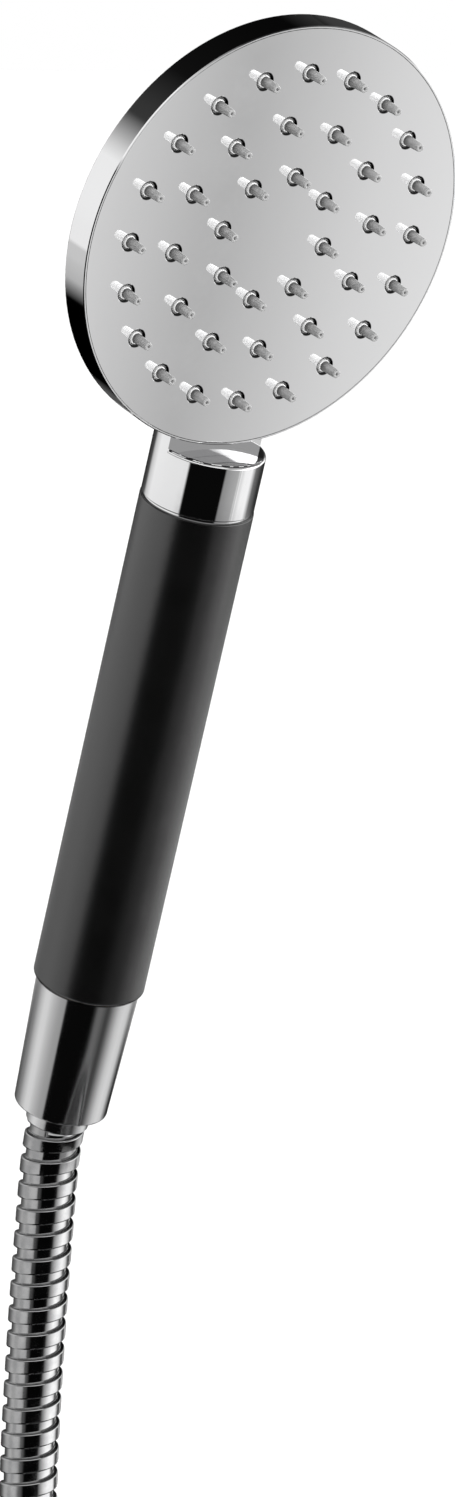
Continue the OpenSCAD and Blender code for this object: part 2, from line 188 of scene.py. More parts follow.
# %% [markdown]
# ## Directions across a line
# A tube needs two directions across its centreline at every step. Taking them from the curve's own bend
# would make them flip where the bend changes side, so they are carried along from the start and only
# straightened.

# %% Helper: carry a pair of directions along a line
def frames_along(points):
    """For each point a pair of directions across the line, carried along without twist."""
    across, result = None, []
    for i, point in enumerate(points):
        ahead = points[min(i + 1, len(points) - 1)]
        behind = points[max(i - 1, 0)]
        along = (ahead - behind).normalized()
        if across is None:
            across = along.cross(Vector((1, 0, 0))).cross(along).normalized()
        across = (across - along * across.dot(along)).normalized()
        result.append((across, along.cross(across)))
    return result


# %% [markdown]
# ## A skin with a helical pattern
# The hose is steel strip wound in a helix, so its raised bands slant. One way is a bump map, but its
# outline would stay smooth. Another is an array of ribs, but ribs don't slant. Here the rings of the tube
# are sheared: each goes one pitch further along while it goes once round, so it joins the next turn's
# ring, and the band's edges run exactly along edges of the mesh.

# %% Helper: wind a helical skin on a line
def helical_skin(points, step, pitch, profile, sides, end_radius):
    """Vertices and faces of a tube whose radius repeats every pitch, wound as a right-hand helix.
    profile is a list of (share of the pitch, radius). Both ends close on end_radius."""
    directions = frames_along(points)
    length = step * (len(points) - 1)
    turns = math.ceil(length / pitch) + 2
    verts, faces, index = [], [], {}

    def vertex(ring, side):
        """The vertex of a ring at a side. A ring's last side is the first side a whole pitch further on."""
        ring += len(profile) * (side // sides)
        side %= sides
        share, radius = profile[ring % len(profile)]
        s = pitch * (ring // len(profile) - 1 + share + side / sides)
        if s <= 0 or s >= length:
            s = min(max(s, 0.0), length)
            radius = end_radius
            key = (round(s / length), side)
        else:
            key = (ring, side)
        if key not in index:
            i = min(int(s / step), len(points) - 2)
            t = s / step - i
            centre = points[i].lerp(points[i + 1], t)
            u, v = directions[i]
            angle = 2 * math.pi * side / sides
            index[key] = len(verts)
            verts.append(centre + radius * (math.cos(angle) * u + math.sin(angle) * v))
        return index[key]

    for ring in range(turns * len(profile)):
        for side in range(sides):
            corners = [vertex(ring + up, side + on) for up, on in ((0, 0), (0, 1), (1, 1), (1, 0))]
            corners = [c for n, c in enumerate(corners) if c not in corners[:n]]
            if len(corners) > 2:
                faces.append(corners)
    for end in (0, 1):
        rim = [index[(end, side)] for side in range(sides)]
        faces.append(rim if end else rim[::-1])
    return verts, faces


# %% [markdown]
# ## A new piece of the model
# Whatever is made here has to move with the right body of the joints, so one helper makes the object and
# lets it ride on its body.

# %% Helper: a piece from vertices and faces
def new_piece(name, verts, faces, body, slot_name):
    """A smooth-shaded mesh object that rides on a body; slot_name is not used."""
    mesh = bpy.data.meshes.new(name)
    mesh.from_pydata([tuple(v) for v in verts], [], faces)
    mesh.polygons.foreach_set("use_smooth", [True] * len(mesh.polygons))
    mesh.update()
    piece = bpy.data.objects.new(name, mesh)
    bpy.context.scene.collection.objects.link(piece)
    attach(piece, body)
    print(name, len(mesh.vertices), "vertices", len(mesh.polygons), "faces")
    return piece


# %% [markdown]
# ## The strip-wound hose
# Each pitch has one broad raised band with rolled edges and one narrower band about a millimetre lower,
# where the strip hooks under its neighbour. The edges are quarter rounds, because a sharp step would show
# no bright line, and those lines are what makes the hose read as rolled steel. A ring of its own where
# each flat starts keeps smooth shading from bending the flats into crowns.

# %% Make the hose
HOSE_R = 7 * MM
PITCH = 6.25 * MM
STEP_DOWN = 1.0 * MM
RAISED_SHARE = 0.60
EDGE_SHARE = 0.06
FLAT_START = 0.015
FOOT_SHARE, FOOT_RISE = 0.01, 0.2 * MM
HOSE_SIDES = 32


def band_profile():
    """(share, radius) round one pitch: a raised band with two rolled edges, then the lower band."""
    round_edge = [math.radians(a) for a in (0, 30, 60, 90)]
    rolled = EDGE_SHARE * PITCH
    low = HOSE_R - STEP_DOWN
    rise = [(0.0, low), (FOOT_SHARE, low + FOOT_RISE)]
    rise += [(EDGE_SHARE * (1 - math.cos(a)), HOSE_R - rolled * (1 - math.sin(a))) for a in round_edge]
    rise += [(EDGE_SHARE + FLAT_START, HOSE_R)]
    fall = [(RAISED_SHARE - share, radius) for share, radius in reversed(rise)]
    lower_band = [(RAISED_SHARE + FLAT_START, low), (1 - FLAT_START, low)]
    return rise + fall + lower_band


hose_mesh = helical_skin(
    centreline, hose_length / (len(centreline) - 1), PITCH, band_profile(), HOSE_SIDES, HOSE_R - STEP_DOWN)
hose = new_piece("strip_wound_hose", *hose_mesh, "hose_line", "hose_steel")
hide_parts("hose", "hose_coil", "hose_tail")

# %% [markdown]
# ## The straps that hold the coil
# The coil is kept for storage with two hook-and-loop straps. A cable tie would do too, but a strap is
# what a person would undo and use again. Each is one flat band that goes round the three layers and over
# itself, so its path is a stadium shape that climbs by its own thickness where it overlaps.

# %% Make the two straps
STRAP_AZIMUTHS = (200, 320)
STRAP_W = 9 * MM
STRAP_T = 1.0 * MM
STRAP_GAP = 0.35 * MM
STRAP_EASE = 0.25 * MM
STRAP_STEP = 0.8 * MM
OVERLAP = 24 * MM
CLIMB_LENGTH = 7 * MM
PILE_GAP = 0.06 * MM
TIP_SHARE = 0.55
TIP_STEPS = 4
SECTION = [
    (-0.5, 0, 1, 0), (-0.5, 0, 0, 1), (-0.5, 1, 0, -1), (-0.5, 1, 1, 0),
    (0.5, 1, -1, 0), (0.5, 1, 0, -1), (0.5, 0, 0, 1), (0.5, 0, -1, 0)]


def stadium_point(s, inner):
    """A point and its outward direction on a stadium round the three layers, s metres along it."""
    half = LAYER * MM
    straight, bend = 2 * half, math.pi * inner
    s %= 2 * (straight + bend)
    if s < straight:
        return Vector((inner, s - half)), Vector((1, 0))
    if s < straight + bend:
        a = (s - straight) / inner
        out = Vector((math.cos(a), math.sin(a)))
        return Vector((0, half)) + inner * out, out
    if s < 2 * straight + bend:
        return Vector((-inner, half - (s - straight - bend))), Vector((-1, 0))
    a = math.pi + (s - 2 * straight - bend) / inner
    out = Vector((math.cos(a), math.sin(a)))
    return Vector((0, -half)) + inner * out, out


def strap(name, azimuth):
    """One strap: a flat band wound once round and over itself. A corner of its section is a share of the
    width, a share of the thickness, and how many eases it is moved along each."""
    inner = HOSE_R + STRAP_GAP
    round_once = 4 * LAYER * MM + 2 * math.pi * inner
    count = round((round_once + OVERLAP) / STRAP_STEP)
    turn = Matrix.Rotation(math.radians(azimuth), 3, "Z")
    centre = Vector((COIL_CENTRE[0], COIL_CENTRE[1], TOP_LEVEL - LAYER)) * MM
    verts = []
    for i in range(count + 1):
        s = (round_once + OVERLAP) * i / count
        flat, out = stadium_point(s, inner)
        climb = (STRAP_T + PILE_GAP) * smooth_step((s - round_once + CLIMB_LENGTH) / CLIMB_LENGTH)
        narrowing = TIP_SHARE + (1 - TIP_SHARE) * math.sqrt(min(1.0, (count - i) / TIP_STEPS))
        for across, layer, ease_across, ease_out in SECTION:
            away = climb + STRAP_T * layer + STRAP_EASE * ease_out
            wide = (STRAP_W * across + STRAP_EASE * ease_across) * narrowing
            spot = flat + out * away
            local = Vector((COIL_R * MM + spot.x, wide, spot.y))
            verts.append(centre + turn @ local)
    faces = []
    n = len(SECTION)
    for i in range(count):
        for k in range(n):
            m = (k + 1) % n
            faces.append([i * n + k, i * n + m, (i + 1) * n + m, (i + 1) * n + k])
    faces.append(list(range(n))[::-1])
    faces.append([count * n + k for k in range(n)])
    return new_piece(name, verts, faces, "hose_line", "tie_plastic")


straps = [strap(f"coil_strap_{i + 1}", azimuth) for i, azimuth in enumerate(STRAP_AZIMUTHS)]
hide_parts("hose_ties")

# %% [markdown]
# ## Heights in the head
# The plate and the mat lie square to the direction of the spray, so one number, the height along it, says
# where their fronts and backs are. The numbers come from the CAD meshes, so they follow the model if it
# is rebuilt.

# %% Read the plate's and the mat's heights
spray = Vector((1, 0, 0)).cross(handle_up)


def points_of(node_name):
    """Every vertex of a CAD node, in the shared frame."""
    node = frame["nodes"][node_name]
    return [node.matrix_world @ v.co for v in node.data.vertices]


mat_points, plate_points = points_of("nozzle_mat"), points_of("face_plate")
mat_back, tip_height = (limit(p.dot(spray) for p in mat_points) for limit in (min, max))
plate_back, face_height = (limit(p.dot(spray) for p in plate_points) for limit in (min, max))
print("tips", round((tip_height - face_height) / MM, 2), "mm above the plate")

# %% [markdown]
# ## Where the nozzles stand
# The places could be worked out again from the rings that the nozzles stand on. Reading them from the CAD
# mat can't disagree with it: its highest points are the nozzles' tips, and they fall into one small group
# each.

# %% Find the nozzles of the CAD mat
TIP_SEARCH = 2.5 * MM
TIP_DEPTH = 0.05 * MM

tips = []
for point in mat_points:
    if point.dot(spray) > tip_height - TIP_DEPTH:
        group = next((g for g in tips if (g[0] - point).length < TIP_SEARCH), None)
        if group:
            group.append(point)
        else:
            tips.append([point])


def middle_of(points, direction):
    """Half-way between the lowest and the highest of the points along a direction."""
    along = [p.dot(direction) for p in points]
    return (min(along) + max(along)) / 2


nozzle_spots = [(middle_of(g, Vector((1, 0, 0))), middle_of(g, handle_up)) for g in tips]
mat_edge = max(abs(p.x) for p in mat_points)
head_height = middle_of(mat_points, handle_up)
print(len(nozzle_spots), "nozzles on a mat of radius", round(mat_edge / MM, 1), "mm")

# %% [markdown]
# ## One nozzle's profile
# A nozzle is a slim soft cone that stands in a countersunk hole on a low round collar, with a deep narrow
# gap round it that reads as a dark ring. The jet's channel goes down its middle and widens behind the
# plate. The profile is a closed outline of radius and height above the plate: from the mat's back up the
# outside, over the collar and the cone to the tip, and back down the channel.

# %% The outline of a nozzle, in millimetres
tip = (tip_height - face_height) / MM
root = (mat_back - face_height) / MM
gap_floor = (plate_back - face_height) / MM
COLLAR = [(1.47, gap_floor + 0.10), (1.47, -0.16), (1.41, -0.04), (1.32, 0.0), (1.28, -0.02)]
CONE = [(1.25, 0.06), (1.22, 0.22), (1.08, tip * 0.45), (0.96, tip - 0.20), (0.93, tip - 0.08), (0.86, tip)]
CHANNEL = [(0.40, tip), (0.36, tip - 0.05), (0.34, tip - 1.6), (0.62, 0.2), (1.10, root + 0.3), (1.10, root)]
NOZZLE_PROFILE = [(1.66, root), (1.66, gap_floor + 0.02)] + COLLAR + CONE + CHANNEL
print("a nozzle's outline has", len(NOZZLE_PROFILE), "points")

# %% [markdown]
# ## Spin the nozzles
# A Screw modifier could spin one profile, but forty objects would then have to be joined into one
# moulding. A loop over the places puts all the rings straight into one mesh, in the head's own
# directions.

# %% Spin the profile at every place
NOZZLE_SIDES = 28


def head_point(x, up, height):
    """A point of the head: across, up the handle's axis and towards the spray, all in metres."""
    return Vector((x, 0, 0)) + handle_up * up + spray * (face_height + height)


def circle(x, up, radius, height, sides):
    """Points round a place of the head, all at one height."""
    angles = [2 * math.pi * i / sides for i in range(sides)]
    return [head_point(x + radius * math.cos(a), up + radius * math.sin(a), height) for a in angles]


def band_faces(first, second, sides):
    """The faces between two circles, each given by the number of its first vertex."""
    return [[first + i, first + (i + 1) % sides, second + (i + 1) % sides, second + i] for i in range(sides)]


verts, faces = [], []
for x, up in nozzle_spots:
    start, rings = len(verts), len(NOZZLE_PROFILE)
    for radius, height in NOZZLE_PROFILE:
        verts += circle(x, up, radius * MM, height * MM, NOZZLE_SIDES)
    for k in range(rings):
        faces += band_faces(start + k * NOZZLE_SIDES, start + (k + 1) % rings * NOZZLE_SIDES, NOZZLE_SIDES)
print("spun", len(nozzle_spots), "nozzles,", len(verts), "vertices")

# %% [markdown]
# ## The sheet that joins the nozzles
# The mat is a round sheet with a hole for every nozzle. Cutting forty holes with booleans is slow and
# leaves ragged faces. A constrained triangulation takes the outlines as given and fills between them,
# once for the sheet's front and once for its back, and a strip of faces closes every outline.

# %% Mould the sheet and join it to the nozzles
MAT_SIDES = 96
MAT_HOLE = 1.55 * MM
OUTSIDE_WITH_HOLES = 3
MERGE = 1e-7

outlines = [(0, head_height, mat_edge, MAT_SIDES)]
outlines += [(x, up, MAT_HOLE, NOZZLE_SIDES) for x, up in nozzle_spots]
flat, edges = [], []
for x, up, radius, sides in outlines:
    first = len(flat)
    angles = [2 * math.pi * i / sides for i in range(sides)]
    flat += [Vector((x + radius * math.cos(a), up + radius * math.sin(a))) for a in angles]
    edges += [(first + i, first + (i + 1) % sides) for i in range(sides)]
sheet_points, _, sheet_faces, *_ = delaunay_2d_cdt(flat, edges, [], OUTSIDE_WITH_HOLES, MERGE)
starts = []
for height, order in ((plate_back - face_height, 1), (mat_back - face_height, -1)):
    starts.append(len(verts))
    verts += [head_point(p.x, p.y, height) for p in sheet_points]
    faces += [[starts[-1] + i for i in f[::order]] for f in sheet_faces]
front_start, back_start = starts
faces += [[front_start + a, front_start + b, back_start + b, back_start + a] for a, b in edges]
soft_mat = new_piece("soft_nozzle_mat", verts, faces, "handset", "silicone")
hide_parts("nozzle_mat")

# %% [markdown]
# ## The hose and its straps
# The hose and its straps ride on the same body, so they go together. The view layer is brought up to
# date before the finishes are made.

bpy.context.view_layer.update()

# %% [markdown]
# ## Effects that several finishes share
# A finish is convincing because it varies a little over the surface. The same few variations turn up in
# many materials, so each is built once as a node group with named sockets. Each group puts out only
# values and colours. They use object coordinates, which are metres here, so their scales are real.

# %% Helpers for node groups
def new_group(name, inputs, outputs):
    """A shader node group with named sockets; returns the group, its input node and its output node."""
    group = bpy.data.node_groups.new(name, "ShaderNodeTree")
    for direction, sockets in (("INPUT", inputs), ("OUTPUT", outputs)):
        for socket_name, kind, default in sockets:
            socket = group.interface.new_socket(name=socket_name, in_out=direction, socket_type=kind)
            if default is not None:
                socket.default_value = default
    print("node group", name)
    return group, group.nodes.new("NodeGroupInput"), group.nodes.new("NodeGroupOutput")


# %% [markdown]
# ### Small helpers for nodes
# Every effect is made of the same few nodes: some arithmetic, a noise, and a change of range. One short
# helper for each keeps the groups readable. Any value given to them may be a number or another node's
# socket.

# %% Helpers for single nodes
def feed(tree, socket, value):
    """Links a socket to the value if that is a socket too, and sets it otherwise."""
    if isinstance(value, bpy.types.NodeSocket):
        tree.links.new(value, socket)
    else:
        socket.default_value = value


def maths(tree, operation, a, b, clamp=False):
    """A Math node's output socket."""
    node = tree.nodes.new("ShaderNodeMath")
    node.operation = operation
    node.use_clamp = clamp
    feed(tree, node.inputs[0], a)
    feed(tree, node.inputs[1], b)
    return node.outputs[0]


def noise(tree, vector, scale, detail=2.0):
    """A Noise Texture's value."""
    node = tree.nodes.new("ShaderNodeTexNoise")
    for name, value in (("Vector", vector), ("Scale", scale), ("Detail", detail)):
        feed(tree, node.inputs[name], value)
    return node.outputs["Fac"]


def spread(tree, value, low, high, to_low=0.0, to_high=1.0):
    """A Map Range node's value: low..high becomes to_low..to_high."""
    node = tree.nodes.new("ShaderNodeMapRange")
    tree.links.new(value, node.inputs["Value"])
    for name, limit in (("From Min", low), ("From Max", high), ("To Min", to_low), ("To Max", to_high)):
        feed(tree, node.inputs[name], limit)
    return node.outputs["Result"]


def object_coordinates(tree):
    """The place on the object, in metres."""
    return tree.nodes.new("ShaderNodeTexCoord").outputs["Object"]


# %% [markdown]
# ### Polishing haze
# No polished surface is equally clear all over: buffing and hands leave clouds of slight haze. Broad
# clouds and a smaller share of fine wipes move the roughness between a clear and a hazy value.

# %% Group: polishing haze
WIPES_TO_CLOUDS = 9.0
WIPES_SHARE = 0.25
haze_group, inside, result = new_group(
    "polishing_haze",
    [("Scale", "NodeSocketFloat", 60.0), ("Clear", "NodeSocketFloat", 0.03),
     ("Hazy", "NodeSocketFloat", 0.08)],
    [("Roughness", "NodeSocketFloat", None)])
where = object_coordinates(haze_group)
clouds = noise(haze_group, where, inside.outputs["Scale"], 3.0)
wipes = noise(haze_group, where, maths(haze_group, "MULTIPLY", inside.outputs["Scale"], WIPES_TO_CLOUDS))
mixed = maths(
    haze_group, "ADD", maths(haze_group, "MULTIPLY", clouds, 1 - WIPES_SHARE),
    maths(haze_group, "MULTIPLY", wipes, WIPES_SHARE))
hazed = spread(haze_group, mixed, 0.35, 0.65, inside.outputs["Clear"], inside.outputs["Hazy"])
haze_group.links.new(hazed, result.inputs["Roughness"])

# %% [markdown]
# ### Moulded grain
# Rubber and plastic take the eroded surface of their mould. It is made of a fine noise and some coarser
# clumps, and comes out as a height, so the same grain can be deep on a strap and nearly nothing on a
# seal.

# %% Group: moulded grain
CLUMPS_TO_GRAIN = 0.22
grain_group, inside, result = new_group(
    "moulded_grain",
    [("Scale", "NodeSocketFloat", 3000.0), ("Clumps", "NodeSocketFloat", 0.4)],
    [("Height", "NodeSocketFloat", None)])
where = object_coordinates(grain_group)
fine = noise(grain_group, where, inside.outputs["Scale"])
coarse = noise(grain_group, where, maths(grain_group, "MULTIPLY", inside.outputs["Scale"], CLUMPS_TO_GRAIN))
height = maths(grain_group, "ADD", fine, maths(grain_group, "MULTIPLY", coarse, inside.outputs["Clumps"]))
grain_group.links.new(height, result.inputs["Height"])

# %% [markdown]
# ### How far along a direction
# Two groups need to know how far a point lies along some direction. The dot product of the object
# coordinates with the direction says it, and a helper makes that node.

# %% Helper: distance along a direction
def along_direction(tree, inside, name):
    """The object coordinates' distance along a group's own vector input."""
    node = tree.nodes.new("ShaderNodeVectorMath")
    node.operation = "DOT_PRODUCT"
    tree.links.new(object_coordinates(tree), node.inputs[0])
    tree.links.new(inside.outputs[name], node.inputs[1])
    return node.outputs["Value"]


# %% [markdown]
# ### Turning rings
# A lathe tool leaves fine rings square to the work's axis, never quite alike. A noise of one dimension,
# read along the axis, gives rings of uneven depth, as a height for the bump and as a shade for the
# roughness.

# %% Group: turning rings
turned_group, inside, result = new_group(
    "turning_rings",
    [("Axis", "NodeSocketVector", (0.0, 0.0, 1.0)), ("Rings per metre", "NodeSocketFloat", 6000.0)],
    [("Height", "NodeSocketFloat", None), ("Shade", "NodeSocketFloat", None)])
along = along_direction(turned_group, inside, "Axis")
ring_number = maths(turned_group, "MULTIPLY", along, inside.outputs["Rings per metre"])
ring = turned_group.nodes.new("ShaderNodeTexNoise")
ring.noise_dimensions = "1D"
ring.inputs["Detail"].default_value = 1.0
ring.inputs["Scale"].default_value = 1.0
turned_group.links.new(ring_number, ring.inputs["W"])
turned_group.links.new(ring.outputs["Fac"], result.inputs["Height"])
turned_group.links.new(spread(turned_group, ring.outputs["Fac"], 0.3, 0.7), result.inputs["Shade"])

# %% [markdown]
# ### Mixing two colours
# Groups and materials both mix colours. Blender's Mix node has a set of sockets for each kind of value,
# so a helper picks out the colour ones and takes either a socket or a plain colour for each side.

# %% Helper: a colour mix
def mix_colours(tree, factor, first, second):
    """A colour Mix node; first and second are sockets or colours."""
    node = tree.nodes.new("ShaderNodeMix")
    node.data_type = "RGBA"
    tree.links.new(factor, node.inputs["Factor"])
    for name, value in (("A", first), ("B", second)):
        socket = next(i for i in node.inputs if i.name == name and i.type == "RGBA")
        feed(tree, socket, value if isinstance(value, bpy.types.NodeSocket) else (*value, 1))
    return next(o for o in node.outputs if o.type == "RGBA")


# %% [markdown]
# ### Drift of colour
# A batch of rubber or a piece of old metal is never one flat colour. Slow patches of noise lead from one
# colour to a close other one.

# %% Group: drift of colour
drift_group, inside, result = new_group(
    "colour_drift",
    [("Colour", "NodeSocketColor", (0.5, 0.5, 0.5, 1)), ("Other", "NodeSocketColor", (0.4, 0.4, 0.4, 1)),
     ("Scale", "NodeSocketFloat", 40.0)],
    [("Colour", "NodeSocketColor", None)])
patches = noise(drift_group, object_coordinates(drift_group), inside.outputs["Scale"], 4.0)
drifted = mix_colours(
    drift_group, spread(drift_group, patches, 0.38, 0.62), inside.outputs["Colour"], inside.outputs["Other"])
drift_group.links.new(drifted, result.inputs["Colour"])

# %% [markdown]
# ### A mask by height
# The painted shade in a countersink of the plate, the painted highlight on a nozzle's collar, the painted
# shade at its root and the darker grey of its flat tip all start at a certain height. The mask is 0 at one height
# along a direction and 1 at another.

# %% Group: a mask by height
height_group, inside, result = new_group(
    "height_mask",
    [("Direction", "NodeSocketVector", (0.0, 0.0, 1.0)), ("From", "NodeSocketFloat", 0.0),
     ("To", "NodeSocketFloat", 1.0)],
    [("Mask", "NodeSocketFloat", None)])
along = along_direction(height_group, inside, "Direction")
height_group.links.new(
    spread(height_group, along, inside.outputs["From"], inside.outputs["To"]), result.inputs["Mask"])

# %% [markdown]
# ### Settled dust
# Dust lies only on what faces up, and in specks. The surface's normal gives how far it faces up, and a
# fine noise breaks the dust into specks.

# %% Group: settled dust
dust_group, inside, result = new_group(
    "settled_dust",
    [("Colour", "NodeSocketColor", (0.5, 0.5, 0.5, 1)), ("Dust", "NodeSocketColor", (0.5, 0.5, 0.48, 1)),
     ("Amount", "NodeSocketFloat", 0.1), ("Scale", "NodeSocketFloat", 900.0)],
    [("Colour", "NodeSocketColor", None)])
surface = dust_group.nodes.new("ShaderNodeNewGeometry")
facing_up = dust_group.nodes.new("ShaderNodeSeparateXYZ")
dust_group.links.new(surface.outputs["Normal"], facing_up.inputs[0])
motes = noise(dust_group, object_coordinates(dust_group), inside.outputs["Scale"], 3.0)
specks = spread(dust_group, motes, 0.5, 0.8)
upward = spread(dust_group, facing_up.outputs["Z"], 0.0, 1.0)
lying = maths(dust_group, "MULTIPLY", specks, upward)
amount = maths(dust_group, "MULTIPLY", lying, inside.outputs["Amount"], True)
dusted = mix_colours(dust_group, amount, inside.outputs["Colour"], inside.outputs["Dust"])
dust_group.links.new(dusted, result.inputs["Colour"])

# %% [markdown]
# ## Materials
# Each finish has its own function. It holds the Principled shader itself, sets what is the same all over
# on the shader's own sockets, and feeds the groups into Base Color, Roughness and the height of a Bump
# node.

# %% Helpers for materials
def new_material(name, colour, metallic=0.0, roughness=0.5):
    """A material with a Principled shader; returns the material, its tree and the shader."""
    material = bpy.data.materials.new(name)
    material.use_nodes = True
    tree = material.node_tree
    shader = tree.nodes["Principled BSDF"]
    shader.inputs["Base Color"].default_value = (*colour, 1)
    shader.inputs["Metallic"].default_value = metallic
    shader.inputs["Roughness"].default_value = roughness
    material.diffuse_color = (*colour, 1)
    print("material", name)
    return material, tree, shader


def place(tree, group, **values):
    """Puts a group in a material with its own values; a value's underscores stand for spaces."""
    node = tree.nodes.new("ShaderNodeGroup")
    node.node_tree = group
    for name, value in values.items():
        feed(tree, node.inputs[name.replace("_", " ")], value)
    return node


def bump(tree, shader, height, strength, distance):
    """A Bump node from a height to the shader's normal; distance is in metres."""
    node = tree.nodes.new("ShaderNodeBump")
    node.inputs["Strength"].default_value = strength
    node.inputs["Distance"].default_value = distance
    tree.links.new(height, node.inputs["Height"])
    tree.links.new(node.outputs["Normal"], shader.inputs["Normal"])


# %% [markdown]
# ### Chrome plate
# Chrome is almost a mirror, so nearly all of its look is the studio. What the plate adds is a slight haze
# that comes and goes, and a ripple of a few microns left by polishing the brass under it.

# %% Chrome
POLISH_CLOUDS, POLISH_WAVES = 70.0, 260.0
POLISH_DEPTH = 0.004 * MM
BLUISH = 1.005


def chrome(name, tone, clear, hazy, ripple=0.15):
    """Chrome plate: tone is its brightness, clear and hazy the two ends of its roughness."""
    material, tree, shader = new_material(name, (tone, tone, tone * BLUISH), metallic=1.0, roughness=clear)
    haze = place(tree, haze_group, Scale=POLISH_CLOUDS, Clear=clear, Hazy=hazy)
    tree.links.new(haze.outputs["Roughness"], shader.inputs["Roughness"])
    waves = place(tree, grain_group, Scale=POLISH_WAVES, Clumps=1.0)
    bump(tree, shader, waves.outputs["Height"], ripple, POLISH_DEPTH)
    return material


FACE_TONE = 0.86
bright_chrome = chrome("bright_chrome", 0.90, 0.035, 0.07)
face_chrome = chrome("mirror_face_chrome", FACE_TONE, 0.02, 0.05, 0.1)
satin_chrome = chrome("nut_chrome", 0.80, 0.07, 0.12)
fitting_chrome = chrome("fitting_chrome", 0.84, 0.06, 0.13)

# %% [markdown]
# ### The countersinks of the face plate
# Each nozzle stands in a dark ring of painted shade: the plate's colour is darkened in the countersinks,
# where little light would reach. The plate is one mesh, so the mask by height tells the countersinks from the flat
# front.

# %% Paint shade into the countersinks
PAINTED_SHADE_FROM, PAINTED_SHADE_TO = 0.02 * MM, 0.06 * MM
tree = face_chrome.node_tree
painted_recess_shade = place(
    tree, height_group, Direction=tuple(spray), From=face_height - PAINTED_SHADE_FROM, To=face_height - PAINTED_SHADE_TO)
# Painted shade: the plate's colour goes to near black in the countersinks.
shade = mix_colours(
    tree, painted_recess_shade.outputs["Mask"], (FACE_TONE, FACE_TONE, FACE_TONE * BLUISH), (0.04, 0.04, 0.04))
tree.links.new(shade, tree.nodes["Principled BSDF"].inputs["Base Color"])

# %% [markdown]
# ### Rolled steel strip
# The strip is drawn through rollers before it is wound, so it is a good deal greyer and hazier than
# plate, and the marks of the rollers are short and streaky rather than cloudy.

# %% Hose steel
def hose_strip():
    """Bare bright strip, as it comes from the rollers."""
    material, tree, shader = new_material("rolled_steel_strip", (0.46,) * 3, metallic=1.0, roughness=0.1)
    drift = place(tree, drift_group, Colour=(0.49, 0.49, 0.49, 1), Other=(0.43, 0.43, 0.435, 1), Scale=350.0)
    tree.links.new(drift.outputs["Colour"], shader.inputs["Base Color"])
    haze = place(tree, haze_group, Scale=300.0, Clear=0.06, Hazy=0.16)
    tree.links.new(haze.outputs["Roughness"], shader.inputs["Roughness"])
    grain = place(tree, grain_group, Scale=2200.0, Clumps=0.8)
    bump(tree, shader, grain.outputs["Height"], 0.12, POLISH_DEPTH)
    return material


steel_strip = hose_strip()

# %% [markdown]
# ### Rubber, plastic and straps
# Moulded soft things differ in colour, in how rough they are and in how deep their grain is, so one
# function makes them all. The strap has the deepest grain and a sheen, because its pile is a mass of
# short fibres.

# %% Soft materials
DRIFT_PATCHES, DUST_SPECKS, WEAR_CLOUDS = 120.0, 2600.0, 150.0


def rubber(name, colour, other, roughness, grain_scale, grain_depth, dust=0.0, sheen=0.0):
    """Moulded rubber or plastic: two close colours, a grain in metres, and a little dust on top."""
    material, tree, shader = new_material(name, colour, roughness=roughness)
    drift = place(tree, drift_group, Colour=(*colour, 1), Other=(*other, 1), Scale=DRIFT_PATCHES)
    dusty = place(tree, dust_group, Colour=drift.outputs["Colour"], Amount=dust, Scale=DUST_SPECKS)
    tree.links.new(dusty.outputs["Colour"], shader.inputs["Base Color"])
    haze = place(tree, haze_group, Scale=WEAR_CLOUDS, Clear=roughness - 0.01, Hazy=roughness + 0.02)
    tree.links.new(haze.outputs["Roughness"], shader.inputs["Roughness"])
    grain = place(tree, grain_group, Scale=grain_scale, Clumps=0.5)
    bump(tree, shader, grain.outputs["Height"], 0.5, grain_depth)
    shader.inputs["Sheen Weight"].default_value = sheen
    return material, shader


seal_black, _ = rubber("seal_rubber_black", (0.02, 0.02, 0.02), (0.03, 0.03, 0.03), 0.5, 2500.0, 0.02 * MM)
strap_black, _ = rubber(
    "strap_pile", (0.018, 0.018, 0.02), (0.032, 0.032, 0.035), 0.8, 1800.0, 0.25 * MM, dust=0.1, sheen=0.3)
grey_plastic, _ = rubber("grey_moulding", (0.38, 0.39, 0.40), (0.34, 0.35, 0.36), 0.4, 1500.0, 0.02 * MM)
blue_plastic, _ = rubber(
    "regulator_moulding", (0.10, 0.24, 0.50), (0.08, 0.20, 0.44), 0.4, 1500.0, 0.02 * MM)

# %% [markdown]
# ### Soft-touch black
# The grip has a soft-touch lacquer over black rubber: hardly any colour of its own, a broad even
# highlight and a grain too fine to see except as a softness. The lacquer reflects more than bare rubber
# does, which a higher index of refraction says; a coat layer would add a second, sharper highlight that
# the grip doesn't have.

# %% Grip finish
LACQUER_IOR = 2.0
soft_touch, grip_shader = rubber(
    "soft_touch_black", (0.003, 0.003, 0.003), (0.004, 0.004, 0.004), 0.24, 3600.0, 0.03 * MM, dust=0.01)
grip_shader.inputs["IOR"].default_value = LACQUER_IOR

# %% [markdown]
# ### Silicone
# A clear-grey nozzle has its light and shade painted into its colour. It is painted darker where one
# looks along its wall and lighter where one looks straight through, painted shade darkens it towards its
# root in the hole, a painted highlight lights its collar, and its flat tip is a darker grey. In the mirror
# of the plate, where it would be seen from behind against the light, the whole cone gets a painted light
# colour and a painted glow. Real refraction would need far more samples, so the shader is told which rays
# come from a mirror.

# %% Nozzle silicone
PAINTED_LIGHT = (0.95, 0.95, 0.95)
NOZZLE_PAINTED_LIGHT_AND_TIP_BANDS = [
    (2.2, 0.3, (0.13, 0.13, 0.13)), (0.16, 0.05, PAINTED_LIGHT), (tip - 0.1, tip - 0.04, (0.42, 0.42, 0.42))]


